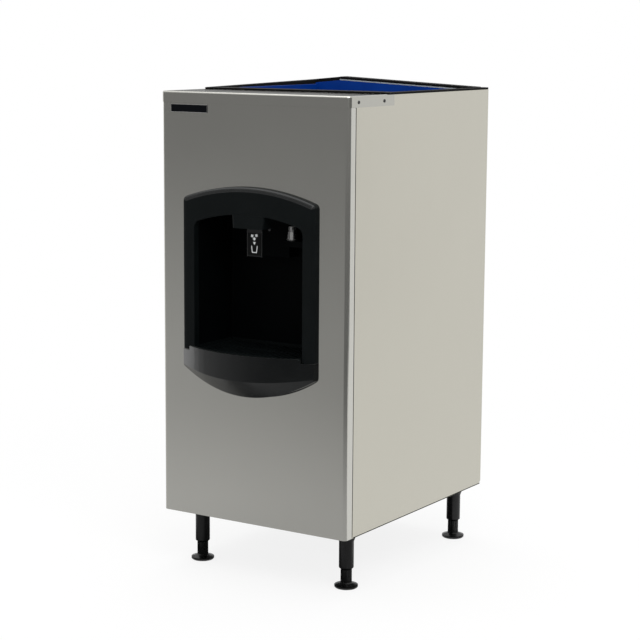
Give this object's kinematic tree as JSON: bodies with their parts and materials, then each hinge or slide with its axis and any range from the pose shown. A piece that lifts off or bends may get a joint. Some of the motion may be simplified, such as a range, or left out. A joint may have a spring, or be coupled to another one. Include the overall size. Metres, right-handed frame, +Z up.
{
  "type": "ice dispensing bin",
  "caption": "Floor-standing insulated ice bin with a top opening, an arched dispensing recess with a push lever, a bowed drip basin and levelling legs.",
  "frame": {"origin": "on the floor, below the middle of the whole object's box", "axes": "+Z up, +X to the right of someone who faces the front, the front faces -Y"},
  "size_m": [0.5646, 0.807, 1.2599],
  "materials": {
    "side_steel": "satin stainless steel",
    "front_steel": "satin stainless steel",
    "galvanised_steel": "dull zinc-coated sheet",
    "bright_steel": "bright turned steel",
    "shell_metal": "satin spun metal",
    "gear_casting": "as-cast",
    "dark_enamel": "semi-gloss enamel",
    "black_plastic": "fine-grained moulding",
    "gloss_black": "semi-gloss moulding",
    "leg_plastic": "moulded nylon",
    "blue_liner": "smooth moulding",
    "rim_trim": "smooth extrusion",
    "seal_rubber": "closed-cell strip",
    "white_plastic": "food-grade moulding",
    "grey_plastic": "extruded pipe",
    "foam": "foamed in place",
    "label_face": "printed sheet",
    "lamp_glass": "frosted"
  },
  "bodies": {
    "cabinet": {"side_panel_right": "side_steel", "side_panel_left": "side_steel", "front_panel": "front_steel", "top_cover": "front_steel", "back_panel": "galvanised_steel", "base_pan": "galvanised_steel", "bulkhead": "galvanised_steel", "bin_supports": "galvanised_steel", "control_box": "galvanised_steel", "control_lid": "galvanised_steel", "lever_pin": "bright_steel", "chute_screw": "bright_steel", "motor_bolts": "bright_steel", "leg_nuts": "bright_steel", "panel_screws": "bright_steel", "lever_bracket": "bright_steel", "lamp_shell": "shell_metal", "badge_plate": "shell_metal", "gearbox": "gear_casting", "motor_can": "dark_enamel", "transformer": "dark_enamel", "solenoid_body": "dark_enamel", "bezel": "black_plastic", "chute_hood": "black_plastic", "recess_liner": "black_plastic", "drip_basin": "black_plastic", "switch_body": "black_plastic", "ice_chute": "black_plastic", "lamp_shelf": "black_plastic", "rocker_housing": "black_plastic", "inlet_gland": "black_plastic", "basin_front": "gloss_black", "leg_bodies": "leg_plastic", "bin_liner": "blue_liner", "rear_rim_rail": "rim_trim", "rim_gasket": "seal_rubber", "shaft_seal": "seal_rubber", "shaft_bearing": "white_plastic", "bin_drain": "white_plastic", "drain_pipe": "grey_plastic", "basin_drain": "grey_plastic", "insulation": "foam", "lamp_bulb": "lamp_glass"},
    "grille": {"drip_grille": "black_plastic"},
    "lever": {"push_lever": "gloss_black", "lever_label": "label_face", "lever_spring": "bright_steel"},
    "button": {"switch_button": "gloss_black"},
    "gate": {"gate_flap": "bright_steel", "gate_shaft": "bright_steel"},
    "plunger": {"solenoid_plunger": "bright_steel"},
    "wheel": {"drive_shaft": "bright_steel", "paddle_wheel": "white_plastic", "shaft_collar": "bright_steel", "agitator": "bright_steel"},
    "rocker_cap": {"rocker": "gloss_black"},
    "foot_front_left": {"foot_front_left": "leg_plastic"},
    "foot_front_right": {"foot_front_right": "leg_plastic"},
    "foot_rear_left": {"foot_rear_left": "leg_plastic"},
    "foot_rear_right": {"foot_rear_right": "leg_plastic"}
  },
  "joints": [
    {"name": "lever_hinge", "type": "hinge", "parent": "cabinet", "child": "lever", "pos_m": [0, -0.3065, 0.9255], "axis": [1, 0, 0], "range_deg": [0, 12], "stiffness_Nm_per_rad": 1, "springref_deg": -11.46},
    {"name": "button_slide", "type": "slide", "parent": "cabinet", "child": "button", "axis": [0, 1, 0], "range_m": [0, 0.0034]},
    {"name": "gate_hinge", "type": "hinge", "parent": "cabinet", "child": "gate", "pos_m": [0, -0.1235, 0.9275], "axis": [-1, 0, 0], "range_deg": [0, 70], "stiffness_Nm_per_rad": 0.05, "springref_deg": -17.19},
    {"name": "plunger_slide", "type": "slide", "parent": "cabinet", "child": "plunger", "axis": [0, 0, 1], "range_m": [0, 0.0208]},
    {"name": "wheel_spin", "type": "hinge", "parent": "cabinet", "child": "wheel", "pos_m": [0, 0, 0.7115], "axis": [0, 1, 0], "continuous": true},
    {"name": "rocker_tilt", "type": "hinge", "parent": "cabinet", "child": "rocker_cap", "pos_m": [-0.15, 0.3735, 0.28125], "axis": [-1, 0, 0], "range_deg": [0, 18]},
    {"name": "grille_lift", "type": "slide", "parent": "cabinet", "child": "grille", "axis": [0, 0, 1], "range_m": [0, 0.1]},
    {"name": "foot_screw_front_left", "type": "slide", "parent": "cabinet", "child": "foot_front_left", "axis": [0, 0, -1], "range_m": [0, 0.025]},
    {"name": "foot_screw_front_right", "type": "slide", "parent": "cabinet", "child": "foot_front_right", "axis": [0, 0, -1], "range_m": [0, 0.025]},
    {"name": "foot_screw_rear_left", "type": "slide", "parent": "cabinet", "child": "foot_rear_left", "axis": [0, 0, -1], "range_m": [0, 0.025]},
    {"name": "foot_screw_rear_right", "type": "slide", "parent": "cabinet", "child": "foot_rear_right", "axis": [0, 0, -1], "range_m": [0, 0.025]}
  ],
  "couplings": [
    {"joint": "button_slide", "follows": "lever_hinge", "m_per_rad": 0.0156},
    {"joint": "plunger_slide", "follows": "gate_hinge", "m_per_rad": 0.0169}
  ]
}
